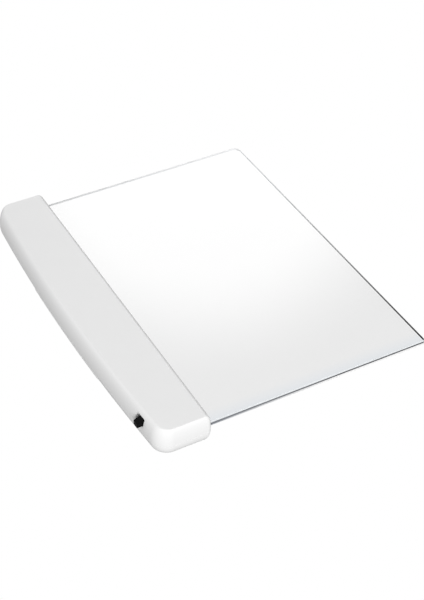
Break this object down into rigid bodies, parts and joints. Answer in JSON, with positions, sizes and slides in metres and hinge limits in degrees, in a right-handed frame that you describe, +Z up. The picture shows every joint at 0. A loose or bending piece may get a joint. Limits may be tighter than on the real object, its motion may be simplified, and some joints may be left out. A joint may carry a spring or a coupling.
{
  "type": "edge-lit reading light",
  "caption": "Slim white battery housing with a bowed back, holding a large clear flat light-guide panel along one long side, with a slide switch near one end.",
  "frame": {"origin": "under the middle of the whole light, in the plane of the housing's flat underside", "axes": "+Y along the housing's length, away from the switch end; +X from the housing towards the panel's free edge; +Z up, out of the housing's top"},
  "size_m": [0.1728, 0.2242, 0.017],
  "materials": {
    "shell_white": "fine satin moulded ABS",
    "door_white": "fine satin moulded ABS",
    "clear_acrylic": "polished clear acrylic",
    "board_white": "white solder mask on a glass-fibre board",
    "led_package": "phosphor-filled silicone in a white package",
    "resistor_black": "chip resistor",
    "switch_black": "satin black moulding",
    "plated_steel": "nickel-plated sheet and wire",
    "cell_jacket": "plain printed jacket with bare steel ends",
    "wire_red": "PVC insulation",
    "wire_black": "PVC insulation",
    "wire_white": "PVC insulation",
    "screw_steel": "zinc-plated, cross recess"
  },
  "bodies": {
    "housing": {"upper_shell": "shell_white", "lower_shell": "shell_white", "light_panel": "clear_acrylic", "led_board": "board_white", "led_1": "led_package", "led_2": "led_package", "led_3": "led_package", "led_4": "led_package", "led_5": "led_package", "led_6": "led_package", "led_resistor_1": "resistor_black", "led_resistor_2": "resistor_black", "led_resistor_3": "resistor_black", "switch_body": "switch_black", "switch_frame": "plated_steel", "switch_pin_1": "plated_steel", "switch_pin_2": "plated_steel", "switch_pin_3": "plated_steel", "battery_cell_1": "cell_jacket", "battery_cell_2": "cell_jacket", "battery_cell_3": "cell_jacket", "battery_cell_4": "cell_jacket", "positive_contact": "plated_steel", "negative_contact": "plated_steel", "bridge_contact": "plated_steel", "negative_spring": "plated_steel", "bridge_spring": "plated_steel", "red_wire": "wire_red", "black_wire": "wire_black", "white_wire": "wire_white", "housing_screw_1": "screw_steel", "housing_screw_2": "screw_steel", "housing_screw_3": "screw_steel", "housing_screw_4": "screw_steel"},
    "switch_slider": {"switch_knob": "switch_black"},
    "door": {"battery_door": "door_white"}
  },
  "joints": [
    {"name": "switch_slide", "type": "slide", "parent": "housing", "child": "switch_slider", "axis": [0, 1, 0], "range_m": [0, 0.003]},
    {"name": "door_slide", "type": "slide", "parent": "housing", "child": "door", "axis": [-1, 0, 0], "range_m": [0, 0.028]}
  ]
}
